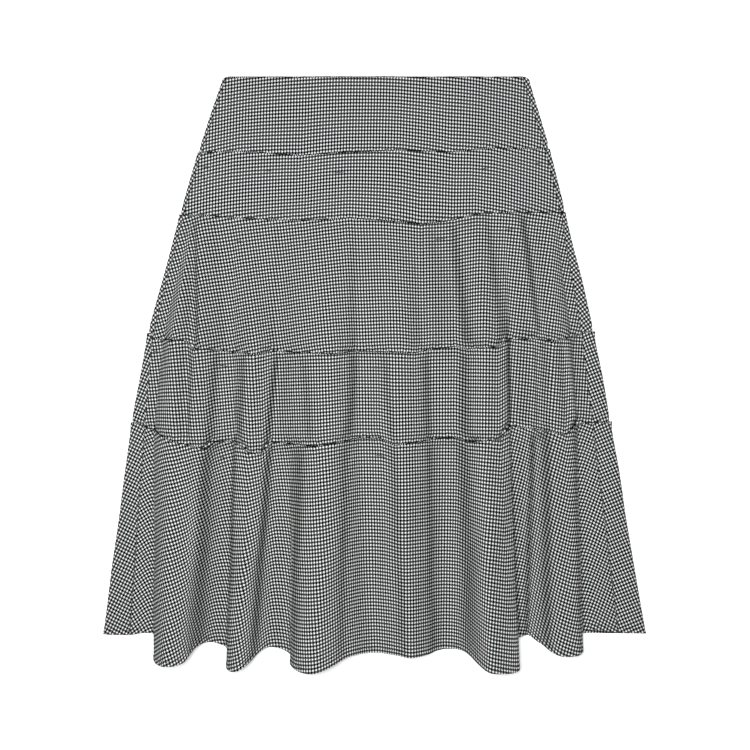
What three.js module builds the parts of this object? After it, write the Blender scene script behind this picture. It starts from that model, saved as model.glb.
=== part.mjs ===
import * as THREE from "three";

// A tiered skirt laid flat, in millimetres. X is its width, the waist is at +Y, the hem at -Y,
// and it rests on Z = 0. Each tier is a front and a back panel of cloth, joined at the sides.

const wall = 1.2; // the cloth
const gap = 0.3; // between the layers of a seam
const lap = 12; // how far a tier's lower edge runs on under the next tier
const tuckRun = 10; // the length over which it dips to get there
const lipWave = 23; // from crest to crest of a ruffled top edge
const lipShare = 0.65; // of the lip's lift that is there between crests
const bendReach = 4; // from a side fold to where the underside lies flat
const longestStep = 14; // between columns of points, measured at the hem
const mostSteps = 2; // between two fold lines
const bendSteps = 3; // on each side of a side fold
const seamInset = 0.2; // from a side seam to each panel, along the ring
const knotPower = 0.6; // evens out the curve between close and distant fold lines
const cornerRound = { reach: 7, drop: 3 }; // the two upper corners

// The fold lines of the front, from left to right, where they cross seams 2, 3 and 4 and the hem.
// x is across, h is the height above the surface, and hemY is where the line ends at the hem.
const foldColumns = ["line", "x2", "h2", "x3", "h3", "x4", "h4", "x5", "h5", "hemY"];
const frontFolds = [
  ["edgeL", -215.3, 4.4, -250.8, 4.4, -269.0, 4.4, -300.0, 4.4, -291.8],
  ["sideL", -211.2, 6.7, -245.4, 7.2, -253.6, 7.8, -270.7, 7.8, -292.3],
  ["wingL", -205.6, 7.3, -236.2, 9.4, -246.0, 10.0, -246.2, 8.9, -290.0],
  ["deepA", -203.3, 7.4, -233.4, 10.0, -242.7, 10.0, -236.9, 5.0, -298.9],
  ["leftA", -201.7, 7.5, -231.4, 12.2, -241.3, 15.5, -240.9, 26.6, -314.5],
  ["ridgeA", -198.9, 7.8, -219.3, 27.8, -221.8, 33.3, -222.9, 55.5, -318.0],
  ["creaseA", -196.2, 7.3, -201.5, 22.2, -202.9, 27.8, -205.9, 46.6, -314.4],
  ["flankA", -191.1, 7.8, -191.1, 26.6, -191.7, 30.0, -195.0, 30.0, -301.9],
  ["valleyAB", -163.6, 7.5, -163.1, 12.2, -166.4, 12.2, -176.4, 11.1, -301.1],
  ["deepB", -155.8, 7.5, -154.2, 13.3, -154.3, 12.2, -159.2, 12.2, -310.8],
  ["leftB", -152.5, 7.8, -149.3, 17.8, -152.1, 17.8, -161.6, 26.6, -322.7],
  ["ridgeB", -142.5, 8.0, -133.2, 26.6, -135.3, 27.8, -148.5, 43.3, -324.8],
  ["valleyBC", -121.6, 7.5, -106.8, 13.3, -105.7, 13.3, -115.5, 15.5, -304.6],
  ["deepC", -100.6, 7.8, -91.1, 18.9, -94.4, 17.8, -90.7, 15.5, -314.5],
  ["leftC", -95.0, 8.0, -84.3, 23.3, -87.6, 23.3, -91.5, 31.1, -319.7],
  ["ridgeC", -57.5, 8.7, -47.7, 37.7, -51.9, 42.2, -65.3, 56.6, -325.1],
  ["flankC", -32.1, 8.0, -30.6, 27.8, -30.5, 30.0, -28.3, 34.4, -311.9],
  ["valleyCD", -17.7, 7.8, -17.6, 17.8, -13.2, 17.8, -0.1, 12.2, -310.8],
  ["ridgeD", 12.1, 8.7, 28.3, 31.1, 30.4, 32.2, 38.0, 34.4, -311.9],
  ["valleyDE", 55.2, 7.5, 61.5, 15.5, 74.9, 11.1, 80.7, 6.1, -308.6],
  ["flankE", 86.1, 7.3, 96.5, 17.8, 97.5, 20.0, 100.7, 21.1, -310.2],
  ["ridgeE", 112.6, 8.4, 121.5, 35.5, 121.4, 36.6, 126.4, 55.5, -324.4],
  ["rightE", 139.1, 8.0, 144.4, 22.2, 146.4, 24.4, 156.8, 33.3, -323.0],
  ["deepE", 145.8, 7.5, 148.3, 15.5, 148.6, 13.3, 147.1, 5.0, -301.1],
  ["valleyEF", 153.5, 7.3, 157.5, 12.2, 156.5, 10.5, 165.9, 5.0, -292.2],
  ["flankF", 172.3, 7.3, 177.5, 20.0, 177.5, 20.0, 182.2, 17.8, -300.9],
  ["ridgeF", 188.8, 7.8, 193.6, 32.2, 195.7, 32.2, 204.3, 33.3, -311.1],
  ["rightF", 197.7, 7.5, 212.9, 17.8, 220.3, 20.0, 228.0, 22.2, -307.8],
  ["deepF", 200.2, 7.4, 216.6, 11.1, 223.7, 11.1, 222.2, 6.1, -296.5],
  ["wingR", 203.0, 7.3, 220.0, 10.0, 227.2, 10.0, 236.3, 8.3, -287.2],
  ["sideR", 205.9, 6.7, 228.7, 7.2, 240.8, 7.8, 269.5, 7.8, -289.5],
  ["edgeR", 210.8, 4.4, 242.4, 4.4, 260.6, 4.4, 299.9, 4.4, -291.2],
];

// The back's folds, from right to left, which rise into the front's larger ones. h is counted
// from the back's rest on the surface.
const backColumns = ["line", "x2", "x3", "h3", "x4", "h4", "x5", "h5"];
const backFolds = [
  ["footF", 195, 219.7, 0, 221.9, 0, 220.8, 0],
  ["riseF", 184, 198.4, 11.1, 199.5, 11.1, 201.4, 13.3],
  ["restEF", 172, 182.0, 0, 182.0, 0, 185.3, 0],
  ["footE", 135, 142.0, 0, 143.1, 0, 140.9, 0],
  ["riseE", 117, 123.1, 14.4, 123.1, 15.5, 123.5, 24.4],
  ["restE", 98, 102.1, 0, 102.1, 0, 109.8, 0],
  ["footD", 50, 55.4, 0, 55.4, 0, 61.0, 0],
  ["riseD", 28, 30.8, 11.1, 30.8, 12.2, 38.4, 14.4],
  ["restCD", 4, 2.2, 0, 2.2, 0, 15.5, 0],
  ["footC", -20, -22.3, 0, -22.3, 0, -24.5, 0],
  ["riseC", -46, -50.5, 17.8, -52.7, 20.0, -58.9, 30.0],
  ["restC", -74, -80.0, 0, -82.2, 0, -86.6, 0],
  ["footB", -104, -115.5, 0, -117.7, 0, -125.5, 0],
  ["riseB", -120, -134.7, 8.9, -135.7, 10.0, -143.9, 16.7],
  ["restB", -134, -148.8, 0, -149.9, 0, -158.8, 0],
  ["footA", -166, -186.5, 0, -186.5, 0, -188.8, 0],
  ["riseA", -182, -209.3, 12.2, -211.2, 14.4, -210.6, 27.8],
  ["restA", -195, -228.7, 0, -232.0, 0, -233.2, 0],
];
const backHemY = -291.5;

// The two levels above the folds: the side folds, the side seams, and the share of seam 2's height.
const upperLevels = [
  { edgeL: -168.2, sideL: -163.8, sideR: 163.7, edgeR: 170.8, height: 0.9 },
  { edgeL: -195.3, sideL: -191.4, sideR: 188.6, edgeR: 193.5, height: 0.95 },
];

// Where each upper edge runs across the front, as x and y. The back's runs straight across.
const seamLines = [
  [[-168.2, 324.9], [170.8, 324.9]],
  [[-197.8, 240.8], [-152.5, 243.0], [-82.9, 238.0], [-31.0, 241.9], [28.7, 244.1], [86.1, 241.9],
    [128.1, 246.3], [194.4, 245.2]],
  [[-219.2, 172.0], [-185.6, 171.6], [-133.7, 167.8], [-77.3, 165.9], [-28.8, 168.9], [6.6, 166.6],
    [51.9, 162.3], [87.2, 166.7], [112.6, 173.2], [149.1, 175.0], [210.2, 175.3]],
  [[-252.4, 40.8], [-241.9, 35.2], [-205.7, 32.6], [-196.8, 23.9], [-171.4, 22.9], [-132.2, 18.4],
    [-109.0, 21.9], [-47.7, 18.2], [-22.0, 21.7], [6.5, 21.1], [41.5, 19.5], [61.5, 24.0],
    [90.0, 27.3], [101.8, 23.9], [132.9, 26.0], [147.0, 35.0], [176.5, 34.9], [194.8, 32.4],
    [209.3, 36.0], [241.2, 43.0]],
  [[-269.0, -57.7], [-243.8, -64.1], [-218.6, -77.4], [-184.7, -85.4], [-177.6, -78.0],
    [-151.5, -77.0], [-136.4, -89.7], [-122.7, -90.0], [-113.2, -78.1], [-63.0, -81.6],
    [-19.7, -73.5], [6.5, -73.4], [21.7, -80.8], [57.0, -75.8], [90.0, -72.6], [101.7, -77.3],
    [136.2, -74.3], [146.4, -60.3], [172.3, -62.7], [208.5, -69.0], [216.7, -60.4],
    [228.3, -57.5], [261.2, -56.6]],
];

// The tiers from the waist down, and how far each one's upper edge lifts off the tier above.
const tiers = [
  { name: "yoke", lift: 0 },
  { name: "tier2", lift: 0.7 },
  { name: "tier3", lift: 0.9 },
  { name: "tier4", lift: 2.2 },
  { name: "tier5", lift: 2.2 },
];
const hem = tiers.length;

const cloth = new THREE.MeshStandardMaterial({ color: 0x7c7c7c, roughness: 0.9, metalness: 0 });
cloth.name = "check";

function named(columns, rows) {
  return rows.map((row) => Object.fromEntries(columns.map((column, i) => [column, row[i]])));
}

const front = named(foldColumns, frontFolds);
const back = named(backColumns, backFolds);
const sideLeft = front.find((fold) => fold.line === "sideL");
const sideRight = front.find((fold) => fold.line === "sideR");

// A point of the front's line at a level. Above seam 2 the lines keep their share of the width.
function frontPoint(fold, level) {
  if (level >= 2) {
    return new THREE.Vector3(fold[`x${level}`], fold.hemY, fold[`h${level}`]);
  }
  const flat = upperLevels[level];
  const share = (fold.x2 - sideLeft.x2) / (sideRight.x2 - sideLeft.x2);
  const x = flat[fold.line] ?? flat.sideL + share * (flat.sideR - flat.sideL);
  return new THREE.Vector3(x, fold.hemY, fold.h2 * flat.height);
}

function backPoint(fold, level, flatX) {
  const x = level >= 2 ? fold[`x${level}`] : fold.x2 * flatX;
  const rise = level > 2 ? fold[`h${level}`] : 0;
  return new THREE.Vector3(x, backHemY, wall / 2 + rise);
}

// The whole ring of points at a level, starting at the left side seam: the front to the right,
// round the side fold and back underneath.
function ringPoints(level) {
  const across = front.map((fold) => frontPoint(fold, level));
  const edgeLeft = across[0];
  const edgeRight = across[across.length - 1];
  const flatX = edgeRight.x / front[front.length - 1].x2;
  const under = back.map((fold) => backPoint(fold, level, flatX));
  const underRight = new THREE.Vector3(edgeRight.x - bendReach, backHemY, wall / 2);
  const underLeft = new THREE.Vector3(edgeLeft.x + bendReach, backHemY, wall / 2);
  return [...across.slice(1), underRight, ...under, underLeft, edgeLeft];
}

const rings = [...tiers, null].map((tier, level) => ringPoints(level));
const ringSize = rings[0].length;
const sideRightAt = front.length - 3;

// How many steps each stretch between two lines takes, from its length at the hem.
const steps = rings[hem].map((point, i) => {
  if ([sideRightAt, sideRightAt + 1, ringSize - 2, ringSize - 1].includes(i)) {
    return bendSteps;
  }
  const length = point.distanceTo(rings[hem][(i + 1) % ringSize]);
  return Math.min(mostSteps, Math.max(1, Math.round(length / longestStep)));
});
const columnOf = steps.reduce((starts, count) => [...starts, starts[starts.length - 1] + count], [0]);
const columnCount = columnOf[ringSize];
const rightSeamColumn = columnOf[sideRightAt];

// A smooth closed curve through a ring's points: cubic pieces whose slopes are weighed by the
// distances on either side.
function smoothRing(points) {
  const flatLength = (a, b) => Math.hypot(a.x - b.x, a.z - b.z) ** knotPower;
  const spans = points.map((point, i) => flatLength(point, points[(i + 1) % ringSize]));
  const slopes = points.map((point, i) => {
    const before = (i + ringSize - 1) % ringSize;
    const rising = points[(i + 1) % ringSize].clone().sub(point).multiplyScalar(spans[before] / spans[i]);
    const falling = point.clone().sub(points[before]).multiplyScalar(spans[i] / spans[before]);
    return rising.add(falling).divideScalar(spans[i] + spans[before]);
  });
  const curve = [];
  points.forEach((point, i) => {
    const next = (i + 1) % ringSize;
    for (let step = 0; step < steps[i]; step += 1) {
      const t = step / steps[i];
      const t2 = t * t;
      const t3 = t2 * t;
      const place = new THREE.Vector3();
      place.addScaledVector(point, 2 * t3 - 3 * t2 + 1);
      place.addScaledVector(slopes[i], (t3 - 2 * t2 + t) * spans[i]);
      place.addScaledVector(points[next], 3 * t2 - 2 * t3);
      place.addScaledVector(slopes[next], (t3 - t2) * spans[i]);
      place.z = Math.max(place.z, wall / 2);
      curve.push(place);
    }
  });
  return curve;
}

function along(line, x) {
  const after = line.findIndex((point) => point[0] > x);
  if (after === 0) {
    return line[0][1];
  }
  if (after < 0) {
    return line[line.length - 1][1];
  }
  const [x0, y0] = line[after - 1];
  const [x1, y1] = line[after];
  return y0 + ((y1 - y0) * (x - x0)) / (x1 - x0);
}

// The y of a point on one of the upper edges. Underneath it goes straight from side to side.
function edgeY(level, place, isUnder, left, right) {
  const line = seamLines[level];
  const share = (place.x - left) / (right - left);
  const straight = line[0][1] + share * (line[line.length - 1][1] - line[0][1]);
  const y = isUnder ? straight : along(line, place.x);
  if (level > 0) {
    return y;
  }
  const reach = Math.min(place.x - left, right - place.x);
  return y - cornerRound.drop * Math.max(0, 1 - reach / cornerRound.reach) ** 2;
}

const levels = rings.map((points, level) => {
  const curve = smoothRing(points);
  if (level < hem) {
    const left = points[ringSize - 1].x;
    const right = points[sideRightAt + 1].x;
    curve.forEach((place, column) => {
      place.y = edgeY(level, place, column > rightSeamColumn, left, right);
    });
  }
  return curve;
});

// One row of a tier: the ring at a share of its depth, with the outward direction at each point,
// lengthened at a bend so that two layers keep their distance on both sides of it.
function tierRow(tier, share) {
  const row = levels[tier].map((place, column) => place.clone().lerp(levels[tier + 1][column], share));
  const outward = row.map((place, column) => {
    const down = levels[tier + 1][column].clone().sub(levels[tier][column]);
    const last = row[(column + columnCount - 1) % columnCount];
    const next = row[(column + 1) % columnCount];
    const before = down.clone().cross(place.clone().sub(last)).normalize();
    const after = down.clone().cross(next.clone().sub(place)).normalize();
    return before.clone().add(after).divideScalar(1 + before.dot(after));
  });
  return { row, outward };
}

function depthOf(tier) {
  const lengths = levels[tier].map((place, column) => place.distanceTo(levels[tier + 1][column]));
  return lengths.reduce((sum, length) => sum + length, 0) / columnCount;
}

function moved({ row, outward }, amount) {
  const places = row.map((place, column) => {
    return place.clone().addScaledVector(outward[column], amount(place, outward[column]));
  });
  return { row: places, outward };
}

// A ruffled upper edge lifts in waves where the cloth faces up or sideways, and not underneath.
function lifted(tier) {
  return (place, out) => {
    const wave = Math.sin((2 * Math.PI * (place.x + tier * lipWave * lipShare)) / lipWave);
    const shown = Math.min(1, Math.max(0, 1 + out.z / lipShare));
    return tiers[tier].lift * shown * (lipShare + (1 - lipShare) * wave);
  };
}

function tierRows(tier) {
  const depth = depthOf(tier);
  const isLast = tier + 1 === hem;
  const rows = [moved(tierRow(tier, 0), lifted(tier))];
  if (tier > 0) {
    rows.push(tierRow(tier, lap / depth));
  }
  if (isLast) {
    rows.push(tierRow(tier, 0.5), tierRow(tier, 1));
    return rows;
  }
  const nextDepth = depthOf(tier + 1);
  rows.push(tierRow(tier, 1 - tuckRun / depth));
  [0, lap].forEach((under) => {
    rows.push(moved(tierRow(tier + 1, under / nextDepth), () => -wall - gap));
  });
  return rows;
}

// The columns of a panel. Its side edges stop just short of the side seam.
function panelRows(rows, first, last) {
  return rows.map(({ row, outward }) => {
    const count = last - first + 1;
    const places = Array.from({ length: count }, (_, i) => row[(first + i) % columnCount].clone());
    const inset = (edge, inner) => edge.clone().sub(inner).setLength(seamInset);
    places[0].sub(inset(places[0], places[1]));
    places[count - 1].sub(inset(places[count - 1], places[count - 2]));
    const out = places.map((_, i) => outward[(first + i) % columnCount]);
    return { places, out };
  });
}

// A closed panel of cloth: an outer and an inner face half a wall from the middle, and the rims.
function panel(name, rows) {
  const across = rows[0].places.length;
  const down = rows.length;
  const positions = [];
  [wall / 2, -wall / 2].forEach((offset) => {
    rows.forEach(({ places, out }) => {
      places.forEach((place, i) => {
        positions.push(...place.clone().addScaledVector(out[i], offset).toArray());
      });
    });
  });
  const inner = across * down;
  const at = (i, j) => j * across + i;
  const faces = [];
  const quad = (a, b, c, d) => faces.push(a, b, c, a, c, d);
  for (let j = 0; j < down - 1; j += 1) {
    for (let i = 0; i < across - 1; i += 1) {
      quad(at(i, j), at(i, j + 1), at(i + 1, j + 1), at(i + 1, j));
      quad(inner + at(i, j), inner + at(i + 1, j), inner + at(i + 1, j + 1), inner + at(i, j + 1));
    }
    const right = across - 1;
    quad(at(0, j), inner + at(0, j), inner + at(0, j + 1), at(0, j + 1));
    quad(at(right, j), at(right, j + 1), inner + at(right, j + 1), inner + at(right, j));
  }
  for (let i = 0; i < across - 1; i += 1) {
    const low = down - 1;
    quad(at(i, 0), at(i + 1, 0), inner + at(i + 1, 0), inner + at(i, 0));
    quad(at(i, low), inner + at(i, low), inner + at(i + 1, low), at(i + 1, low));
  }
  const geometry = new THREE.BufferGeometry();
  geometry.setAttribute("position", new THREE.Float32BufferAttribute(positions, 3));
  geometry.setIndex(faces);
  geometry.computeVertexNormals();
  const mesh = new THREE.Mesh(geometry, cloth);
  mesh.name = name;
  return mesh;
}

const group = new THREE.Group();
group.name = "tiered_skirt";
tiers.forEach((tier, i) => {
  const rows = tierRows(i);
  group.add(panel(`${tier.name}_front`, panelRows(rows, 0, rightSeamColumn)));
  group.add(panel(`${tier.name}_back`, panelRows(rows, rightSeamColumn, columnCount)));
});

export default group;
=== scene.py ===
import bpy
import numpy as np
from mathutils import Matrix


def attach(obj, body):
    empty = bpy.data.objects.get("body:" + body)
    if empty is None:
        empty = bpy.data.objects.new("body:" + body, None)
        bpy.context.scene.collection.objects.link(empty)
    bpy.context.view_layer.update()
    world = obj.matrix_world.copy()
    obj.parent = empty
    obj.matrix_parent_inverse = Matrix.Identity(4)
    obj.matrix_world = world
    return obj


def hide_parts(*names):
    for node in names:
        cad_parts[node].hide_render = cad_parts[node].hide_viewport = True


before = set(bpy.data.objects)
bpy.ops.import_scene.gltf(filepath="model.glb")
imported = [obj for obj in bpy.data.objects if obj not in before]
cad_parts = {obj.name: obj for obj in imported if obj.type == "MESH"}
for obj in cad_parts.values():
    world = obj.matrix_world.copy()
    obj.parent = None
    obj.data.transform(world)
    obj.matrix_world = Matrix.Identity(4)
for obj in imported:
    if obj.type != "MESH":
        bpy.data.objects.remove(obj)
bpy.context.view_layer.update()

mm = 0.001

# ---- the skirt's sizes, in millimetres as in the CAD

skirt = {
    "wall": 1.2,            # the CAD's cloth, which sets how far apart the layers lie
    "gap": 0.3,
    "thickness": 0.9,       # the cloth that shows
    "lap": 12.0,            # a tier's lower edge runs on this far under the next
    "tuckRun": 10.0,        # and dips over this length to get there
    "dipRun": 4.5,          # and over this one where a gap shows
    "dipFade": 8.0,         # the dip grows less along the lap over this length
    "bendReach": 4.0,
    "cornerReach": 7.0,
    "cornerDrop": 3.0,
    "knotPower": 0.6,
    "seamInset": 0.2,
    "restFront": 2.4,       # how low the front's cloth may come over the back's
    "frontStep": 2.1,       # between columns of points, at the hem
    "backStep": 4.0,
    "rowStep": 2.6,
}

# One row for each fold line of the front, left to right: x and height at seams 2, 3 and 4 and at
# the hem, then where the line ends at the hem.
frontFolds = np.array([
    [-215.3, 4.4, -250.8, 4.4, -269.0, 4.4, -300.0, 4.4, -291.8],      # left fold
    [-211.2, 6.7, -245.4, 7.2, -253.6, 7.8, -270.7, 7.8, -292.3],      # left side seam
    [-205.6, 7.3, -236.2, 9.4, -246.0, 10.0, -246.2, 8.9, -290.0],
    [-203.3, 7.4, -233.4, 10.0, -242.7, 10.0, -236.9, 5.0, -298.9],
    [-201.7, 7.5, -231.4, 12.2, -241.3, 15.5, -240.9, 26.6, -314.5],
    [-198.9, 7.8, -219.3, 27.8, -221.8, 33.3, -222.9, 55.5, -318.0],   # ridge A
    [-196.2, 7.3, -201.5, 22.2, -202.9, 27.8, -205.9, 46.6, -314.4],
    [-191.1, 7.8, -191.1, 26.6, -191.7, 30.0, -195.0, 30.0, -301.9],
    [-163.6, 7.5, -163.1, 12.2, -166.4, 12.2, -176.4, 11.1, -301.1],
    [-155.8, 7.5, -154.2, 13.3, -154.3, 12.2, -159.2, 12.2, -310.8],
    [-152.5, 7.8, -149.3, 17.8, -152.1, 17.8, -161.6, 26.6, -322.7],
    [-142.5, 8.0, -133.2, 26.6, -135.3, 27.8, -148.5, 43.3, -324.8],   # ridge B
    [-121.6, 7.5, -106.8, 13.3, -105.7, 13.3, -115.5, 15.5, -304.6],
    [-100.6, 7.8, -91.1, 18.9, -94.4, 17.8, -90.7, 15.5, -314.5],
    [-95.0, 8.0, -84.3, 23.3, -87.6, 23.3, -91.5, 31.1, -319.7],
    [-57.5, 8.7, -47.7, 37.7, -51.9, 42.2, -65.3, 56.6, -325.1],       # ridge C
    [-32.1, 8.0, -30.6, 27.8, -30.5, 30.0, -28.3, 34.4, -311.9],
    [-17.7, 7.8, -17.6, 17.8, -13.2, 17.8, -0.1, 12.2, -310.8],
    [12.1, 8.7, 28.3, 31.1, 30.4, 32.2, 38.0, 34.4, -311.9],           # ridge D
    [55.2, 7.5, 61.5, 15.5, 74.9, 11.1, 80.7, 6.1, -308.6],
    [86.1, 7.3, 96.5, 17.8, 97.5, 20.0, 100.7, 21.1, -310.2],
    [112.6, 8.4, 121.5, 35.5, 121.4, 36.6, 126.4, 55.5, -324.4],       # ridge E
    [139.1, 8.0, 144.4, 22.2, 146.4, 24.4, 156.8, 33.3, -323.0],
    [145.8, 7.5, 148.3, 15.5, 148.6, 13.3, 147.1, 5.0, -301.1],
    [153.5, 7.3, 157.5, 12.2, 156.5, 10.5, 165.9, 5.0, -292.2],
    [172.3, 7.3, 177.5, 20.0, 177.5, 20.0, 182.2, 17.8, -300.9],
    [188.8, 7.8, 193.6, 32.2, 195.7, 32.2, 204.3, 33.3, -311.1],       # ridge F
    [197.7, 7.5, 212.9, 17.8, 220.3, 20.0, 228.0, 22.2, -307.8],
    [200.2, 7.4, 216.6, 11.1, 223.7, 11.1, 222.2, 6.1, -296.5],
    [203.0, 7.3, 220.0, 10.0, 227.2, 10.0, 236.3, 8.3, -287.2],
    [205.9, 6.7, 228.7, 7.2, 240.8, 7.8, 269.5, 7.8, -289.5],          # right side seam
    [210.8, 4.4, 242.4, 4.4, 260.6, 4.4, 299.9, 4.4, -291.2],          # right fold
])

# One row for each fold line of the back, right to left: x at seam 2, then x and rise at seams 3
# and 4 and the hem.
backFolds = np.array([
    [195, 219.7, 0, 221.9, 0, 220.8, 0],
    [184, 198.4, 11.1, 199.5, 11.1, 201.4, 13.3],
    [172, 182.0, 0, 182.0, 0, 185.3, 0],
    [135, 142.0, 0, 143.1, 0, 140.9, 0],
    [117, 123.1, 14.4, 123.1, 15.5, 123.5, 24.4],
    [98, 102.1, 0, 102.1, 0, 109.8, 0],
    [50, 55.4, 0, 55.4, 0, 61.0, 0],
    [28, 30.8, 11.1, 30.8, 12.2, 38.4, 14.4],
    [4, 2.2, 0, 2.2, 0, 15.5, 0],
    [-20, -22.3, 0, -22.3, 0, -24.5, 0],
    [-46, -50.5, 17.8, -52.7, 20.0, -58.9, 30.0],
    [-74, -80.0, 0, -82.2, 0, -86.6, 0],
    [-104, -115.5, 0, -117.7, 0, -125.5, 0],
    [-120, -134.7, 8.9, -135.7, 10.0, -143.9, 16.7],
    [-134, -148.8, 0, -149.9, 0, -158.8, 0],
    [-166, -186.5, 0, -186.5, 0, -188.8, 0],
    [-182, -209.3, 12.2, -211.2, 14.4, -210.6, 27.8],
    [-195, -228.7, 0, -232.0, 0, -233.2, 0],
])
backHemY = -291.5

# The waist and seam 1: left fold, left seam, right seam, right fold, share of seam 2's height.
upperLevels = np.array([
    [-168.2, -163.8, 163.7, 170.8, 0.9],
    [-195.3, -191.4, 188.6, 193.5, 0.95],
])

# Where each upper edge runs across the front, x then y.
seamLines = [
    np.array([[-168.2, 324.9], [170.8, 324.9]]),
    np.array([[-197.8, 240.8], [-152.5, 243.0], [-82.9, 238.0], [-31.0, 241.9], [28.7, 244.1],
              [86.1, 241.9], [128.1, 246.3], [194.4, 245.2]]),
    np.array([[-219.2, 172.0], [-185.6, 171.6], [-133.7, 167.8], [-77.3, 165.9], [-28.8, 168.9],
              [6.6, 166.6], [51.9, 162.3], [87.2, 166.7], [112.6, 173.2], [149.1, 175.0],
              [210.2, 175.3]]),
    np.array([[-252.4, 40.8], [-241.9, 35.2], [-205.7, 32.6], [-196.8, 23.9], [-171.4, 22.9],
              [-132.2, 18.4], [-109.0, 21.9], [-47.7, 18.2], [-22.0, 21.7], [6.5, 21.1],
              [41.5, 19.5], [61.5, 24.0], [90.0, 27.3], [101.8, 23.9], [132.9, 26.0],
              [147.0, 35.0], [176.5, 34.9], [194.8, 32.4], [209.3, 36.0], [241.2, 43.0]]),
    np.array([[-269.0, -57.7], [-243.8, -64.1], [-218.6, -77.4], [-184.7, -85.4],
              [-177.6, -78.0], [-151.5, -77.0], [-136.4, -89.7], [-122.7, -90.0],
              [-113.2, -78.1], [-63.0, -81.6], [-19.7, -73.5], [6.5, -73.4], [21.7, -80.8],
              [57.0, -75.8], [90.0, -72.6], [101.7, -77.3], [136.2, -74.3], [146.4, -60.3],
              [172.3, -62.7], [208.5, -69.0], [216.7, -60.4], [228.3, -57.5], [261.2, -56.6]]),
]

# Each tier: how far its upper edge lifts and how ragged it runs, how deep its puckers and slack
# are, and how far its check's rows drop towards the sides, per metre from the middle.
tiers = [
    {"name": "yoke", "lift": 0.0, "ragged": 0.1, "pucker": 0.25, "slack": 0.5, "rowDrop": 0.58},
    {"name": "tier2", "lift": 0.7, "ragged": 0.5, "pucker": 0.35, "slack": 0.6, "rowDrop": 0.58},
    {"name": "tier3", "lift": 0.9, "ragged": 0.6, "pucker": 0.55, "slack": 1.0, "rowDrop": 0.0},
    {"name": "tier4", "lift": 2.2, "ragged": 0.7, "pucker": 0.60, "slack": 1.0, "rowDrop": 0.0},
    {"name": "tier5", "lift": 2.2, "ragged": 0.8, "pucker": 0.60, "slack": 1.3, "rowDrop": 0.0},
]
hemLevel = len(tiers)

# ---- camera, floor and light

photo = {
    "side": 750, "scale": 1.11,             # pixels, and millimetres for each pixel on the floor
    "height": 1600.0,                       # the camera's height
    "middleX": 0.5, "middleY": -5.1,
    "foldShare": 0.985,                     # a fold's usual height brings it this much nearer
}
studio = {
    "ambient": 0.15, "softbox": 40.0, "softboxSize": 0.45, "softboxPlace": (-0.12, 0.06, 1.6),
    "floor": 0.95, "floorGlow": 0.22,       # the floor is a light table, so that hardly a shadow shows
}


# The lens sees the photograph's side, at its scale, from the camera's height.
def makeCamera():
    data = bpy.data.cameras.new("camera")
    data.sensor_width = 36.0
    data.lens = 36.0 * photo["height"] / photo["scale"] / photo["side"]
    camera = bpy.data.objects.new("camera", data)
    camera.location = (photo["middleX"] * mm, photo["middleY"] * mm, photo["height"] * mm)
    bpy.context.collection.objects.link(camera)
    bpy.context.scene.camera = camera


# Even white light all round and one square softbox overhead.
def makeStudio():
    world = bpy.data.worlds.new("studio")
    world.use_nodes = True
    background = world.node_tree.nodes["Background"]
    background.inputs["Color"].default_value = (1, 1, 1, 1)
    background.inputs["Strength"].default_value = studio["ambient"]
    bpy.context.scene.world = world
    data = bpy.data.lights.new("softbox", "AREA")
    data.energy = studio["softbox"]
    data.size = studio["softboxSize"]
    softbox = bpy.data.objects.new("softbox", data)
    softbox.location = studio["softboxPlace"]
    softbox.visible_camera = False
    bpy.context.collection.objects.link(softbox)
    bpy.context.scene.view_settings.view_transform = "Standard"


# A white square that glows a little.
def makeFloor():
    half = 3.0
    mesh = bpy.data.meshes.new("floor")
    mesh.from_pydata([(-half, -half, 0), (half, -half, 0), (half, half, 0), (-half, half, 0)], [],
                     [(0, 1, 2, 3)])
    floor = bpy.data.objects.new("floor", mesh)
    bpy.context.collection.objects.link(floor)
    material = bpy.data.materials.new("paleFloor")
    material.use_nodes = True
    shader = material.node_tree.nodes["Principled BSDF"]
    shader.inputs["Base Color"].default_value = (studio["floor"],) * 3 + (1,)
    shader.inputs["Roughness"].default_value = 0.9
    shader.inputs["Specular IOR Level"].default_value = 0.1
    shader.inputs["Emission Color"].default_value = (1, 1, 1, 1)
    shader.inputs["Emission Strength"].default_value = studio["floorGlow"]
    mesh.materials.append(material)


makeCamera()
makeStudio()
makeFloor()
print("camera, studio and floor made")

# ---- the rings: one closed curve round the skirt at each level


# Above seam 2 a fold keeps its share of the width between the side seams.
def ringKnots(level):
    if level >= 2:
        column = 2 * (level - 2)
        x, z = frontFolds[:, column], frontFolds[:, column + 1]
        flatX, rise = 1.0, backFolds[:, column] if level > 2 else 0.0
        underX = backFolds[:, column - 1] if level > 2 else backFolds[:, 0]
    else:
        edgeLeft, sideLeft, sideRight, edgeRight, height = upperLevels[level]
        share = (frontFolds[:, 0] - frontFolds[1, 0]) / (frontFolds[-2, 0] - frontFolds[1, 0])
        x = sideLeft + share * (sideRight - sideLeft)
        x[[0, -1]] = edgeLeft, edgeRight
        z = frontFolds[:, 1] * height
        flatX, rise = edgeRight / frontFolds[-1, 0], 0.0
        underX = backFolds[:, 0] * flatX
    front = np.column_stack([x, frontFolds[:, 8], z])
    underX = np.concatenate([[x[-1] - skirt["bendReach"]], underX, [x[0] + skirt["bendReach"]]])
    underZ = np.full(len(underX), skirt["wall"] / 2)
    underZ[1:-1] += rise
    under = np.column_stack([underX, np.full(len(underX), backHemY), underZ])
    return np.vstack([front[1:], under, front[:1]])


knots = [ringKnots(level) for level in range(hemLevel + 1)]
rightSeamKnot = len(frontFolds) - 3

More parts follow.
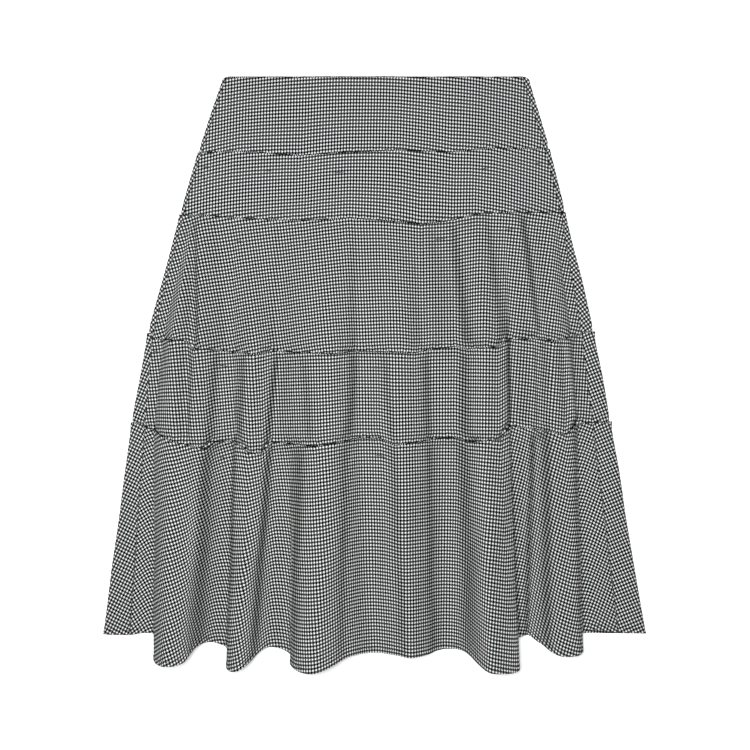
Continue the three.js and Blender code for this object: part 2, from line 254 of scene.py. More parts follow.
# Each stretch between two knots takes as many steps as its length at the hem needs.
stretch = np.linalg.norm(np.roll(knots[-1], -1, axis=0) - knots[-1], axis=1)
isFront = np.arange(len(stretch)) < rightSeamKnot
stepLength = np.where(isFront, skirt["frontStep"], skirt["backStep"])
steps = np.maximum(3, np.round(stretch / stepLength)).astype(int)
steps[[rightSeamKnot, rightSeamKnot + 1, -2, -1]] = 7
knotOf = np.repeat(np.arange(len(steps)), steps)
firstColumn = np.concatenate([[0], np.cumsum(steps)])
columnCount = firstColumn[-1]
rightSeamColumn = firstColumn[rightSeamKnot]
stepShare = (np.arange(columnCount) - firstColumn[knotOf]) / steps[knotOf]


# A smooth closed curve: Hermite pieces whose slopes are weighed by the spans on either side, a
# span being the flat distance between two knots to the power knotPower.
def smoothRing(points):
    forward = np.roll(points, -1, axis=0) - points
    span = np.hypot(forward[:, 0], forward[:, 2])[:, None] ** skirt["knotPower"]
    before = np.roll(span, 1, axis=0)
    slope = (forward * before / span + np.roll(forward, 1, axis=0) * span / before) / (span + before)
    t = stepShare[:, None]
    here, there = points[knotOf], np.roll(points, -1, axis=0)[knotOf]
    slopeHere, slopeThere = slope[knotOf], np.roll(slope, -1, axis=0)[knotOf]
    curve = (2 * t**3 - 3 * t**2 + 1) * here + (t**3 - 2 * t**2 + t) * span[knotOf] * slopeHere
    curve += (3 * t**2 - 2 * t**3) * there + (t**3 - t**2) * span[knotOf] * slopeThere
    curve[:, 2] = np.maximum(curve[:, 2], skirt["wall"] / 2)
    return curve


# The y of an upper edge is read off its line on the front and goes straight across underneath.
def placeEdge(curve, level, left, right):
    line = seamLines[level]
    share = (curve[:, 0] - left) / (right - left)
    straight = line[0, 1] + share * (line[-1, 1] - line[0, 1])
    isUnder = np.arange(columnCount) > rightSeamColumn
    curve[:, 1] = np.where(isUnder, straight, np.interp(curve[:, 0], line[:, 0], line[:, 1]))
    if level == 0:
        reach = np.minimum(curve[:, 0] - left, right - curve[:, 0])
        curve[:, 1] -= skirt["cornerDrop"] * np.maximum(0, 1 - reach / skirt["cornerReach"]) ** 2


rings = [smoothRing(points) for points in knots]
for level, curve in enumerate(rings[:-1]):
    placeEdge(curve, level, knots[level][-1, 0], knots[level][rightSeamKnot + 1, 0])
print("rings made:", columnCount, "columns")

# ---- the cloth between two rings


# Each vector divided by its own length.
def unit(vectors):
    return vectors / np.linalg.norm(vectors, axis=-1, keepdims=True)


# Outward direction of a grid of points: down the panel crossed with across it.
def outward(grid, down):
    across = np.roll(grid, -1, axis=1) - np.roll(grid, 1, axis=1)
    return unit(np.cross(down, across))


# A sum of sines of unrelated lengths, between about -1 and 1, the same on every run.
def ripple(x, lengths, seed):
    waves = [np.sin(2 * np.pi * x / length + seed * (2.1 + 1.7 * i)) for i, length in enumerate(lengths)]
    return sum(waves) / len(lengths)


# Rises from 0 to 1 as three squares less two cubes.
def smoothStep(x):
    t = np.clip(x, 0, 1)
    return t * t * (3 - 2 * t)


# Each tier's depth is the mean distance between its two rings.
depths = [np.linalg.norm(rings[i + 1] - rings[i], axis=1).mean() for i in range(hemLevel)]


# Lengths of the small waves in the cloth, and over what length they die away.
waves = {
    "top": (9.5, 14.3, 23.0), "topFade": 13.0,              # puckers below an upper edge
    "sewn": (11.2, 17.9, 29.0), "sewnFade": 11.0,           # puckers above a sewn lower edge
    "slack": (41.0, 67.0, 103.0), "slackLean": 0.35,
    "lip": (23.0, 37.0),
    "ragged": (4.7, 7.9, 13.0), "raggedFade": 4.0,
}


# Puckers die away from both sewn edges, and slack swells in the middle of the tier.
def relief(tier, fromTop, arc):
    size = tiers[tier]
    fine = ripple(arc, waves["top"], tier + 1.3) * np.exp(-fromTop / waves["topFade"])
    if tier + 1 < hemLevel:
        fromBottom = np.maximum(0, depths[tier] - fromTop)
        fine += ripple(arc, waves["sewn"], tier + 2.9) * np.exp(-fromBottom / waves["sewnFade"])
    middle = np.sin(np.pi * np.clip(fromTop / depths[tier], 0, 1))
    broad = ripple(arc + waves["slackLean"] * fromTop, waves["slack"], tier + 0.4)
    return size["pucker"] * fine + size["slack"] * middle * broad


# A ruffled upper edge lifts off the tier above in waves where the cloth faces up or sideways.
def lipLift(tier, fromTop, x, out):
    shown = np.clip(1 + out[..., 2] / 0.65, 0, 1)
    wave = 0.65 + 0.35 * ripple(x, waves["lip"], tier * 0.9)
    fade = np.clip(1 - fromTop / skirt["lap"], 0, 1) ** 1.4
    return tiers[tier]["lift"] * shown * wave * fade


# Steep flanks that the fold lines are too far apart to hold: the tier, x in pixels of the
# photograph at the tier's upper and lower edge, half the height of the step in millimetres, above
# zero where the cloth rises to the right, half its width, and how far it reaches.
creases = np.array([
    [2, 193, 197, 6.0, 2.8, 14], [2, 248, 249, 1.8, 4.0, 14], [2, 276, 272, -2.6, 4.0, 14],
    [2, 352, 352, -1.8, 4.6, 16], [2, 421, 427, 4.0, 3.2, 14], [2, 452, 467, 10.0, 5.4, 24],
    [2, 486, 503, -3.0, 4.0, 16], [2, 523, 540, -10.0, 5.4, 22], [2, 212, 222, -1.8, 4.0, 12],
    [3, 190, 188, 5.5, 2.2, 12], [3, 215, 208, -4.6, 3.0, 12], [3, 243, 239, 5.0, 3.4, 12],
    [3, 276, 266, -6.0, 2.4, 13], [3, 303, 311, 3.4, 4.0, 14], [3, 354, 347, -4.6, 4.2, 16],
    [3, 384, 392, 4.2, 4.0, 16], [3, 426, 428, -4.2, 4.0, 16], [3, 464, 464, 10.0, 5.0, 20],
    [3, 508, 509, -5.0, 2.2, 12], [3, 535, 537, -6.5, 3.6, 14], [3, 564, 571, 4.0, 3.0, 12],
    [4, 206, 197, -8.5, 5.4, 20], [4, 233, 226, 6.5, 2.6, 12], [4, 268, 253, -7.0, 3.0, 14],
    [4, 300, 291, 8.5, 5.4, 20], [4, 345, 340, -3.6, 4.0, 18], [4, 393, 404, 5.6, 5.0, 18],
    [4, 429, 432, -3.8, 3.6, 16], [4, 463, 470, 11.0, 5.6, 22], [4, 533, 528, -13.0, 5.6, 20],
    [4, 547, 547, 6.0, 3.2, 10], [4, 574, 581, -4.4, 3.0, 12],
])


creaseAtSeam = 0.35     # a crease's share of its size at the seam
creaseRun = 14          # the length over which it grows to all of it


# Where a column of the photograph's pixels lies on a fold, in millimetres.
def pixelToX(pixel):
    fromMiddle = pixel - photo["side"] / 2 + 0.5
    return fromMiddle * photo["scale"] * photo["foldShare"] + photo["middleX"]


# Each flank is a smooth step, a tanh across its line, that dies away on both sides as a bell. It
# runs straight from the upper edge to the lower one, and fades in below a sewn edge.
def creaseRelief(tier, fromTop, x):
    share = fromTop / depths[tier]
    total = np.zeros(np.broadcast(fromTop, x).shape)
    for _, topPixel, lowPixel, size, width, reach in creases[creases[:, 0] == tier]:
        away = x - pixelToX(topPixel + share * (lowPixel - topPixel))
        total += size * np.tanh(away / width) * np.exp(-(away / reach) ** 2)
    return total * (creaseAtSeam + (1 - creaseAtSeam) * smoothStep(fromTop / creaseRun))


# The hem is turned up once: a shade thicker below its stitch line, which pulls in a little.
hem = {"turn": 5.0, "step": 0.30, "turnEdge": 1.2, "stitch": 0.30, "stitchWidth": 0.9}


# A smooth step up at the turn's edge, less a bell along the stitches.
def hemRelief(fromBottom):
    turned = smoothStep((hem["turn"] - fromBottom) / hem["turnEdge"])
    stitch = np.exp(-((fromBottom - hem["turn"]) / hem["stitchWidth"]) ** 2)
    return hem["step"] * turned - hem["stitch"] * stitch


# Points of a tier's middle surface at distances from its upper edge, as (rows, columns, 3): the
# straight lines between its rings, moved outward by the relief, less where the cloth faces down,
# and upward by the creases, only where it faces up.
def tierSurface(tier, fromTop):
    top, bottom = rings[tier][None], rings[tier + 1][None]
    share = (fromTop / depths[tier])[:, None, None]
    grid = top + share * (bottom - top)
    out = outward(grid, np.broadcast_to(bottom - top, grid.shape))
    arc = np.cumsum(np.linalg.norm(grid - np.roll(grid, 1, axis=1), axis=2), axis=1)
    arc = np.broadcast_to(arc[len(arc) // 2], grid.shape[:2])
    distance = fromTop[:, None]
    lift = relief(tier, distance, arc) + lipLift(tier, distance, grid[..., 0], out)
    if tier + 1 == hemLevel:
        lift = lift + hemRelief(depths[tier] - distance)
    frontness = 0.3 + 0.7 * smoothStep((out[..., 2] + 0.4) / 0.5)
    across = creaseRelief(tier, distance, grid[..., 0]) * smoothStep((out[..., 2] - 0.05) / 0.4)
    grid = grid + out * (lift * frontness)[..., None]
    grid[..., 2] += across
    restsAt = np.where(out[..., 2] > 0.1, skirt["restFront"], 0)
    grid[..., 2] = np.maximum(grid[..., 2], restsAt)
    edge = ripple(arc, waves["ragged"], tier + 5.0) * np.exp(-distance / waves["raggedFade"])
    grid = grid + unit(bottom - top) * (tiers[tier]["ragged"] * edge)[..., None]
    grid[..., 2] = np.maximum(grid[..., 2], skirt["wall"] / 2)
    return grid, out


# Rows that lie closer together: below an upper edge, above a sewn edge, above the hem and along
# the lap, by how far they are from it.
upperRows = np.array([0.0, 0.9, 1.8, 2.9, 4.2, 5.8, 7.6, 9.7, skirt["lap"]])
sewnRows = np.array([skirt["tuckRun"], 7.6, 5.2, 3.0, 1.4, 0.0])
hemRows = np.array([8.6, 7.4, 6.4, 5.7, 5.0, 4.3, 3.6, 2.6, 1.3, 0.0])
lapRows = np.array([0.0, 1.4, 3.0, 5.0, 8.0, skirt["lap"]])


# The close rows at both edges, with evenly spaced ones between.
def rowDistances(tier):
    lower = depths[tier] - (hemRows if tier + 1 == hemLevel else sewnRows)
    count = int(round((lower[0] - upperRows[-1]) / skirt["rowStep"]))
    middle = np.linspace(upperRows[-1], lower[0], count + 1)[1:-1]
    return np.concatenate([upperRows, middle, lower])


# Where a ruffled edge stands off and a dark gap shows: the tier whose edge it is, x in pixels,
# half its width in pixels, and how much deeper the tier above dips in millimetres.
gaps = np.array([
    [1, 262, 16, 0.8], [1, 330, 12, 0.6], [1, 430, 16, 0.6], [1, 520, 14, 0.8],
    [2, 236, 12, 1.0], [2, 300, 10, 0.8], [2, 372, 16, 1.0], [2, 442, 10, 1.2], [2, 520, 14, 1.0],
    [3, 158, 9, 1.6], [3, 193, 6, 5.5], [3, 254, 7, 2.6], [3, 271, 6, 5.5], [3, 350, 7, 2.6],
    [3, 400, 9, 2.2], [3, 440, 8, 2.6], [3, 503, 6, 3.5], [3, 532, 6, 3.0], [3, 578, 7, 1.6],
    [4, 140, 10, 2.0], [4, 173, 8, 4.0], [4, 209, 7, 6.0], [4, 243, 7, 6.0], [4, 267, 7, 7.0],
    [4, 320, 10, 2.4], [4, 372, 10, 2.4], [4, 433, 9, 2.6], [4, 471, 8, 5.0], [4, 506, 7, 5.5],
    [4, 580, 11, 2.0],
])


gapBell = 0.6           # a gap's bell width as a share of half its width


# Each gap is a bell along the edge, where the cloth faces up.
def gapDip(tier, x, out):
    total = np.zeros(x.shape)
    for _, pixel, width, depth in gaps[gaps[:, 0] == tier]:
        bellWidth = width * photo["scale"] * gapBell
        total += depth * np.exp(-((x - pixelToX(pixel)) / bellWidth) ** 2)
    return total * smoothStep(out[..., 2] / 0.3)


# A tier's rows: its own surface, which dips under the next tier's edge, then follows that tier's
# inside for the length of the lap.
def tierRows(tier):
    distance = rowDistances(tier)
    grid, out = tierSurface(tier, distance)
    if tier + 1 == hemLevel:
        return grid, out, distance
    under = skirt["wall"] + skirt["gap"]
    nextGrid, nextOut = tierSurface(tier + 1, lapRows)
    nextLift = lipLift(tier + 1, lapRows[:, None], nextGrid[..., 0], nextOut)
    dip = gapDip(tier + 1, nextGrid[..., 0], nextOut)
    fade = np.exp(-lapRows / skirt["dipFade"])[:, None]
    tucked = nextGrid - nextOut * (under + nextLift)[..., None]
    blend = smoothStep(1 - (depths[tier] - distance) / skirt["tuckRun"])[:, None, None]
    grid = grid + (tucked[:1] - grid[-1:]) * blend
    dipRun = smoothStep(1 - (depths[tier] - distance) / skirt["dipRun"])[:, None]
    grid = grid - out * (dip[:1] * dipRun)[..., None]
    tucked = tucked - nextOut * (dip * fade)[..., None]
    out = unit(out * (1 - blend) + nextOut[:1] * blend)
    distance = np.concatenate([distance, depths[tier] + lapRows[1:]])
    return np.concatenate([grid, tucked[1:]]), np.concatenate([out, nextOut[1:]]), distance


# The arc cosine of the dot product of the two directions.
def angleBetween(a, b):
    return np.arccos(np.clip((unit(a) * unit(b)).sum(axis=-1), -1, 1))


# How much of each level's waves is in its cut, from the waist to the hem.
cutWaves = [1.0, 0.0, 0.1, 0.3, 0.45, 0.1]


# A cut edge runs smoothly, and the waves of a laid seam or hem come mostly from how it is folded,
# so the y of a ring is evened out towards the closest parabola across the panel. The rows of the
# check then run nearly parallel to the laid seams and hem.
def evened(level, columns):
    points = rings[level][columns]
    smooth = points.copy()
    even = np.polyval(np.polyfit(points[:, 0], points[:, 1], 2), points[:, 0])
    smooth[:, 1] = even + cutWaves[level] * (points[:, 1] - even)
    return smooth


straightHalf = 45       # half the width in the middle over which the grain is straight on average


# Rolls the strip between two rings out flat, triangle by triangle: each line down the cloth turns
# by the angles at its upper end, and the upper edge's steps add up. The grain is straight, down
# the middle of the panel. It gives each column's upper end, direction and length, in millimetres.
def rollOut(tier, columns):
    top, bottom = evened(tier, columns), evened(tier + 1, columns)
    edge, diagonal = top[1:] - top[:-1], bottom[:-1] - top[1:]
    atStart = angleBetween(bottom[:-1] - top[:-1], edge)
    atEnd = angleBetween(-edge, diagonal) + angleBetween(diagonal, bottom[1:] - top[1:])
    turn = np.concatenate([[0], np.cumsum(atStart + atEnd - np.pi)])
    middle = np.abs(top[:, 0]) < straightHalf
    turn += -np.pi / 2 - turn[middle].mean()
    heading = turn[:-1] + atStart
    step = np.linalg.norm(edge, axis=1)[:, None] * np.column_stack([np.cos(heading), np.sin(heading)])
    start = np.vstack([[0, 0], np.cumsum(step, axis=0)])
    start -= start[np.argmin(np.abs(top[:, 0]))]
    return start, np.column_stack([np.cos(turn), np.sin(turn)]), np.linalg.norm(bottom - top, axis=1)


# ---- one panel of cloth: an outer and an inner face half a thickness from the middle, and rims


# Squares over the outer and the inner face, wound to face outward, then one strip for each rim.
def panelFaces(down, across):
    at = np.arange(down * across).reshape(down, across)
    inner = at + down * across
    quad = lambda a, b, c, d: np.column_stack([a.ravel(), b.ravel(), c.ravel(), d.ravel()])
    faces = [
        quad(at[:-1, :-1], at[1:, :-1], at[1:, 1:], at[:-1, 1:]),
        quad(inner[:-1, :-1], inner[:-1, 1:], inner[1:, 1:], inner[1:, :-1]),
        quad(at[:-1, 0], inner[:-1, 0], inner[1:, 0], at[1:, 0]),
        quad(at[:-1, -1], at[1:, -1], inner[1:, -1], inner[:-1, -1]),
        quad(at[0, :-1], at[0, 1:], inner[0, 1:], inner[0, :-1]),
        quad(at[-1, :-1], inner[-1, :-1], inner[-1, 1:], at[-1, 1:]),
    ]
    rims = np.concatenate([np.full(len(part), i > 1) for i, part in enumerate(faces)])
    return np.vstack(faces), rims


farAway = 999.0         # a distance from the hem, for tiers that have none


# One distance for each point of both faces, in metres.
def setAttribute(mesh, name, values):
    layer = mesh.attributes.new(name, "FLOAT", "POINT")
    layer.data.foreach_set("value", np.tile(values.ravel(), 2) * mm)


# The panel's mesh with its flat places as the UV map, and the size and area of its cut. The grain's
# rows drop towards the sides by the square of the distance from the middle.
def makePanel(name, tier, columns, rows, material):
    grid, out, distance = rows
    places, outs = grid[:, columns].copy(), out[:, columns]
    inset = skirt["seamInset"]
    places[:, 0] += inset * unit(places[:, 1] - places[:, 0])
    places[:, -1] += inset * unit(places[:, -2] - places[:, -1])
    half = skirt["thickness"] / 2
    points = np.concatenate([(places + outs * half).reshape(-1, 3), (places - outs * half).reshape(-1, 3)])
    faces, rims = panelFaces(*places.shape[:2])
    mesh = bpy.data.meshes.new(name)
    mesh.from_pydata(points * mm, [], faces)
    mesh.polygons.foreach_set("use_smooth", ~rims)

    start, heading, lengths = rollOut(tier, columns)
    along = distance[:, None] / depths[tier] * lengths
    flat = start[None] + along[..., None] * heading[None]
    grain = flat.copy()
    grain[..., 1] += tiers[tier]["rowDrop"] * mm * flat[..., 0] ** 2
    loopVertex = np.empty(len(mesh.loops), dtype=np.int32)
    mesh.loops.foreach_get("vertex_index", loopVertex)
    both = np.tile(grain.reshape(-1, 2), (2, 1)) * mm
    mesh.uv_layers.new(name="grain").data.foreach_set("uv", both[loopVertex].ravel())

    side = np.cumsum(np.linalg.norm(np.diff(places, axis=1, prepend=places[:, :1]), axis=2), axis=1)
    setAttribute(mesh, "fromTop", np.broadcast_to(distance[:, None], side.shape))
    hasHem = tier + 1 == hemLevel
    setAttribute(mesh, "fromHem", along[-1:] - along if hasHem else np.full(side.shape, farAway))
    setAttribute(mesh, "fromSide", np.minimum(side, side[:, -1:] - side))
    mesh.materials.append(material)
    piece = bpy.data.objects.new(name, mesh)
    bpy.context.collection.objects.link(piece)

    low, high = flat.min(axis=(0, 1)), flat.max(axis=(0, 1))
    a, b = flat[1:, 1:] - flat[:-1, :-1], flat[1:, :-1] - flat[:-1, 1:]
    area = 0.5 * np.abs(a[..., 0] * b[..., 1] - a[..., 1] * b[..., 0]).sum()
    return piece, (high - low) * mm, area * mm * mm


# ---- materials

check = {
    "across": 3.3, "down": 3.84,            # the check's repeat in millimetres, eight threads
    "black": (0.002, 0.0022, 0.0025), "white": (0.67, 0.685, 0.685),
    "between": 0.74,                        # how much black shows through in a mixed square
    "blackShare": 0.21,                     # how much wider the black threads are
    "threadHeight": 0.08, "roughness": 0.88,
    "fibreScale": 1700.0, "fibreDepth": 0.30,
}

# Overcast upper edges, with patches of painted shade along the lifted edge, hem stitches and side seams,
# with lengths in millimetres.
edging = {
    "least": 0.2, "uneven": 2.2, "patchScale": 55.0,        # how deep the overcast band reaches; its uneven depth is painted shade along the lifted edge
    "bead": 2.3, "beadAbove": 0.7, "bareAbove": 0.52, "beadShade": 0.7,
    "stitchRun": 2.8, "stitchAbove": -0.5, "stitchHalf": 0.32,
    "seamWidth": 0.25, "seamShade": 0.5, "darken": 0.85,
}


# Adds and links nodes in one tree. A value that is fed is either another socket or a number.
class NodeMaker:
    def __init__(self, tree):
        self.tree = tree

    def add(self, kind, **values):
        node = self.tree.nodes.new(kind)
        for name, value in values.items():
            setattr(node, name, value)
        return node

    def math(self, operation, *inputs):
        node = self.add("ShaderNodeMath", operation=operation)
        for socket, value in zip(node.inputs, inputs):
            self.feed(value, socket)
        return node.outputs[0]

    def feed(self, value, socket):
        if isinstance(value, bpy.types.NodeSocket):
            self.tree.links.new(value, socket)
        else:
            socket.default_value = value


# How many threads lie before a place: eight to a repeat, the black ones a little wider, by a
# cosine of the place in the repeat.
def threadCount(make, place, repeat):
    share = make.math("DIVIDE", place, repeat)
    wider = make.math("COSINE", make.math("MULTIPLY", share, 2 * np.pi))
    moved = make.math("MULTIPLY_ADD", wider, check["blackShare"] / (2 * np.pi), share)
    return make.math("MULTIPLY", moved, 8.0)


# Houndstooth: four black and four white threads each way in a two-up, two-down twill. Where the
# warp is on top its colour shows, elsewhere the weft's.
def makeCheckGroup():
    group = bpy.data.node_groups.new("houndstooth", "ShaderNodeTree")
    for name, kind in (("Place", "Vector"), ("Across", "Float"), ("Down", "Float")):
        group.interface.new_socket(name, in_out="INPUT", socket_type="NodeSocket" + kind)
    for name in ("White", "Mixed", "Thread"):
        group.interface.new_socket(name, in_out="OUTPUT", socket_type="NodeSocketFloat")
    make = NodeMaker(group)
    given, made = make.add("NodeGroupInput"), make.add("NodeGroupOutput")
    split = make.add("ShaderNodeSeparateXYZ")
    make.feed(given.outputs["Place"], split.inputs[0])
    warp = threadCount(make, split.outputs["X"], given.outputs["Across"])
    weft = threadCount(make, split.outputs["Y"], given.outputs["Down"])
    warpIndex, weftIndex = make.math("FLOOR", warp), make.math("FLOOR", weft)
    warpWhite = make.math("GREATER_THAN", make.math("FLOORED_MODULO", warpIndex, 8.0), 3.5)
    weftWhite = make.math("GREATER_THAN", make.math("FLOORED_MODULO", weftIndex, 8.0), 3.5)
    over = make.math("FLOORED_MODULO", make.math("ADD", warpIndex, weftIndex), 4.0)
    warpUp = make.math("LESS_THAN", over, 1.5)
    difference = make.math("SUBTRACT", warpWhite, weftWhite)
    make.feed(make.math("MULTIPLY_ADD", difference, warpUp, weftWhite), made.inputs["White"])
    make.feed(make.math("ABSOLUTE", difference), made.inputs["Mixed"])
    warpRound = make.math("ABSOLUTE", make.math("SINE", make.math("MULTIPLY", warp, np.pi)))
    weftRound = make.math("ABSOLUTE", make.math("SINE", make.math("MULTIPLY", weft, np.pi)))
    rounder = make.math("SUBTRACT", warpRound, weftRound)
    make.feed(make.math("MULTIPLY_ADD", rounder, warpUp, weftRound), made.inputs["Thread"])
    return group


# The cloth mixes black and white by a shade: the weave's colour times the fibres' shade, then the
# overcasting in its place, whose noise patches are painted shade along the lifted edge, then dark lines
# multiplied in.
def makeCheckCloth():
    material = bpy.data.materials.new("checkCloth")
    material.use_nodes = True
    make = NodeMaker(material.node_tree)
    shader = material.node_tree.nodes["Principled BSDF"]
    shader.inputs["Roughness"].default_value = check["roughness"]
    shader.inputs["Specular IOR Level"].default_value = 0.03
    shader.inputs["Sheen Weight"].default_value = 0.003
    shader.inputs["Sheen Roughness"].default_value = 0.5
    grain = make.add("ShaderNodeUVMap", uv_map="grain")
    weave = make.add("ShaderNodeGroup", node_tree=makeCheckGroup())
    make.feed(grain.outputs[0], weave.inputs["Place"])
    weave.inputs["Across"].default_value = check["across"] * mm
    weave.inputs["Down"].default_value = check["down"] * mm

    # fibres: a fine, slightly uneven shade along the threads
    fibre = make.add("ShaderNodeTexNoise")
    make.feed(grain.outputs[0], fibre.inputs["Vector"])
    fibre.inputs["Scale"].default_value = check["fibreScale"]
    fibre.inputs["Detail"].default_value = 2.0
    fibreShade = make.math("MULTIPLY_ADD", fibre.outputs["Fac"], check["fibreDepth"],
                           1 - check["fibreDepth"] / 2)
    between = make.math("MULTIPLY_ADD", weave.outputs["Mixed"], -check["between"], 1.0)
    shade = make.math("MULTIPLY", make.math("MULTIPLY", weave.outputs["White"], between), fibreShade)

    # overcast upper edge: black thread with the cloth showing in beads; a noise varies how deep it reaches
    # and leaves stretches solid black without beads, which is painted shade along the lifted edge
    fromTop = make.add("ShaderNodeAttribute", attribute_name="fromTop")
    splitGrain = make.add("ShaderNodeSeparateXYZ")
    make.feed(grain.outputs[0], splitGrain.inputs[0])
    across = splitGrain.outputs["X"]
    bead = make.math("SINE", make.math("MULTIPLY", across, 2 * np.pi / (edging["bead"] * mm)))
    # the patch noise: painted shade along the lifted upper edge, as a deeper band and as solid-black
    # stretches
    patch = make.add("ShaderNodeTexNoise")
    make.feed(grain.outputs[0], patch.inputs["Vector"])
    patch.inputs["Scale"].default_value = edging["patchScale"]
    overcastShadePatch = patch.outputs["Fac"]
    deep = make.math("MULTIPLY_ADD", overcastShadePatch, edging["uneven"] * mm, edging["least"] * mm)
    overcastAndShade = make.math("LESS_THAN", fromTop.outputs["Fac"], deep)
    bare = make.math("GREATER_THAN", overcastShadePatch, edging["bareAbove"])
    bead = make.math("MULTIPLY", make.math("GREATER_THAN", bead, edging["beadAbove"]), bare)
    beadShade = make.math("MULTIPLY", bead, edging["beadShade"])
    shade = make.math("MULTIPLY_ADD", make.math("SUBTRACT", beadShade, shade), overcastAndShade, shade)

    # hem stitches and side seams: thin dark lines
    fromHem = make.add("ShaderNodeAttribute", attribute_name="fromHem")
    atStitch = make.math("ABSOLUTE", make.math("SUBTRACT", fromHem.outputs["Fac"], hem["turn"] * mm))
    stitchLine = make.math("LESS_THAN", atStitch, edging["stitchHalf"] * mm)
    run = make.math("SINE", make.math("MULTIPLY", across, 2 * np.pi / (edging["stitchRun"] * mm)))
    stitches = make.math("MULTIPLY", stitchLine, make.math("GREATER_THAN", run, edging["stitchAbove"]))
    fromSide = make.add("ShaderNodeAttribute", attribute_name="fromSide")
    atSeam = make.math("LESS_THAN", fromSide.outputs["Fac"], edging["seamWidth"] * mm)
    dark = make.math("MAXIMUM", stitches, make.math("MULTIPLY", atSeam, edging["seamShade"]))
    shade = make.math("MULTIPLY", shade, make.math("MULTIPLY_ADD", dark, -edging["darken"], 1.0))

    blend = make.add("ShaderNodeMix", data_type="RGBA")
    make.feed(shade, blend.inputs["Factor"])
    colour = next(socket for socket in blend.outputs if socket.type == "RGBA")
    colourInputs = [socket for socket in blend.inputs if socket.type == "RGBA"]
    colourInputs[0].default_value = check["black"] + (1,)
    colourInputs[1].default_value = check["white"] + (1,)
    make.feed(colour, shader.inputs["Base Color"])

    bump = make.add("ShaderNodeBump")
    bump.inputs["Strength"].default_value = 0.5
    bump.inputs["Distance"].default_value = check["threadHeight"] * mm
    make.feed(weave.outputs["Thread"], bump.inputs["Height"])
    make.feed(bump.outputs[0], shader.inputs["Normal"])
    return material


# Black thread with a fine twist in bands.
def makeThread():
    material = bpy.data.materials.new("blackThread")
    material.use_nodes = True
    make = NodeMaker(material.node_tree)
    shader = material.node_tree.nodes["Principled BSDF"]
    shader.inputs["Roughness"].default_value = 0.6
    place = make.add("ShaderNodeTexCoord")
    twist = make.add("ShaderNodeTexWave", wave_type="BANDS", bands_direction="DIAGONAL")
    make.feed(place.outputs["Object"], twist.inputs["Vector"])
    twist.inputs["Scale"].default_value = 900.0
    ramp = make.add("ShaderNodeValToRGB")
    ramp.color_ramp.elements[0].color = (0.004, 0.004, 0.005, 1)
    ramp.color_ramp.elements[1].color = (0.03, 0.03, 0.032, 1)
    make.feed(twist.outputs["Fac"], ramp.inputs["Fac"])
    make.feed(ramp.outputs["Color"], shader.inputs["Base Color"])
    return material


checkCloth = makeCheckCloth()
blackThread = makeThread()
print("materials made")

# ---- the short thread tacks below each seam of the front, by their places in the photograph

tacks = {
    "length": 14.0, "width": 0.9, "height": 0.3, "steps": 13, "sides": 8,
    "steepUp": 0.25, "steepCost": 50,       # cloth that faces up less costs this many pixels
    "tier2": [(207, 167), (265, 171), (339, 171), (407, 169), (482, 167), (535, 164)],
    "tier3": [(190, 234), (241, 240), (310, 242), (381, 241), (440, 239), (510, 229)],
    "tier4": [(155, 352), (223, 366), (300, 368), (376, 367), (462, 360), (520, 354)],
    "tier5": [(142, 441), (220, 457), (292, 458), (380, 455), (520, 441), (595, 438)],
}


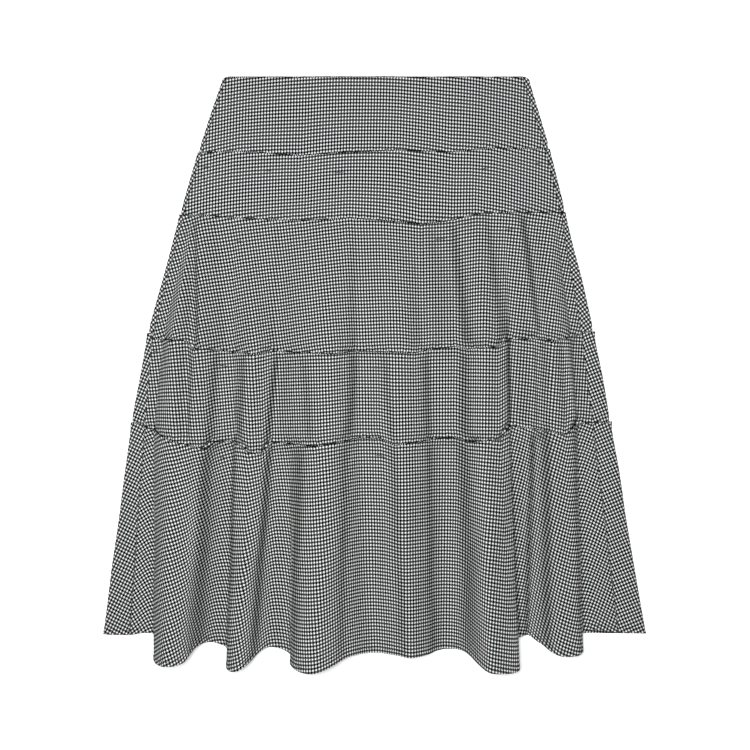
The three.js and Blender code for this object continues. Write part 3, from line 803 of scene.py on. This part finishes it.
# Each tack is a slim bar along the cloth: an ellipse that tapers to both ends, carried along a
# row of the cloth's points and set on its outer face.
def makeTacks(name, places, rows):
    grid, out, _ = rows
    grid, out = grid[:, :rightSeamColumn], out[:, :rightSeamColumn]
    reach = photo["height"] / photo["scale"] / (photo["height"] - grid[..., 2])
    pixelX = photo["side"] / 2 - 0.5 + (grid[..., 0] - photo["middleX"]) * reach
    pixelY = photo["side"] / 2 - 0.5 - (grid[..., 1] - photo["middleY"]) * reach
    points, faces = [], []
    for x, y in places:
        away = np.hypot(pixelX - x, pixelY - y) + tacks["steepCost"] * (out[..., 2] < tacks["steepUp"])
        row, column = np.unravel_index(np.argmin(away), away.shape)
        line = grid[row]
        arc = np.cumsum(np.linalg.norm(np.diff(line, axis=0, prepend=line[:1]), axis=1))
        t = np.linspace(-1, 1, tacks["steps"])
        along = arc[column] + t * tacks["length"] / 2
        path = np.column_stack([np.interp(along, arc, line[:, i]) for i in range(3)])
        up = unit(np.column_stack([np.interp(along, arc, out[row][:, i]) for i in range(3)]))
        forward = unit(np.gradient(path, axis=0))
        sideways = np.cross(up, forward)
        taper = np.sqrt(np.clip(1 - t**2, 0.01, 1))[:, None, None]
        turn = np.linspace(0, 2 * np.pi, tacks["sides"] + 1)[:-1]
        bar = sideways[:, None] * np.cos(turn)[None, :, None] * tacks["width"] / 2 * taper
        bar = bar + up[:, None] * np.sin(turn)[None, :, None] * tacks["height"] * taper
        bar = bar + (path + up * skirt["thickness"] / 2)[:, None]
        first = sum(len(part) for part in points)
        index = first + np.arange(tacks["steps"] * tacks["sides"]).reshape(tacks["steps"], tacks["sides"])
        ahead = np.roll(index, -1, axis=1)
        tube = np.stack([index[:-1], ahead[:-1], ahead[1:], index[1:]], axis=-1).reshape(-1, 4)
        faces += [tuple(face) for face in tube] + [tuple(index[0][::-1]), tuple(index[-1])]
        points.append(bar.reshape(-1, 3))
    mesh = bpy.data.meshes.new(name)
    mesh.from_pydata(np.concatenate(points) * mm, [], faces)
    mesh.polygons.foreach_set("use_smooth", np.ones(len(mesh.polygons), dtype=bool))
    mesh.materials.append(blackThread)
    piece = bpy.data.objects.new(name, mesh)
    bpy.context.collection.objects.link(piece)
    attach(piece, "root")
    return piece


# ---- build

frontColumns = np.arange(0, rightSeamColumn + 1)
backColumns = np.arange(rightSeamColumn, columnCount + 1) % columnCount
for tier, size in enumerate(tiers):
    name = size["name"]
    rows = tierRows(tier)
    backPiece, backFlat, backArea = makePanel(f"cloth_{name}_back", tier, backColumns, rows, checkCloth)
    frontPiece, frontFlat, frontArea = makePanel(f"cloth_{name}_front", tier, frontColumns, rows, checkCloth)
    withPieces = [makeTacks(f"tacks_{name}", tacks[name], rows)] if name in tacks else []
    for piece, node in ((backPiece, f"{name}_back"), (frontPiece, f"{name}_front")):
        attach(piece, "root")
        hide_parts(node)
    for piece, flat, area in ((backPiece, backFlat, backArea), (frontPiece, frontFlat, frontArea)):
        print(f"{piece.name}: {len(piece.data.polygons) * 2} triangles, "
              f"cut {flat[0]:.3f} by {flat[1]:.3f} m, {area:.4f} m2")
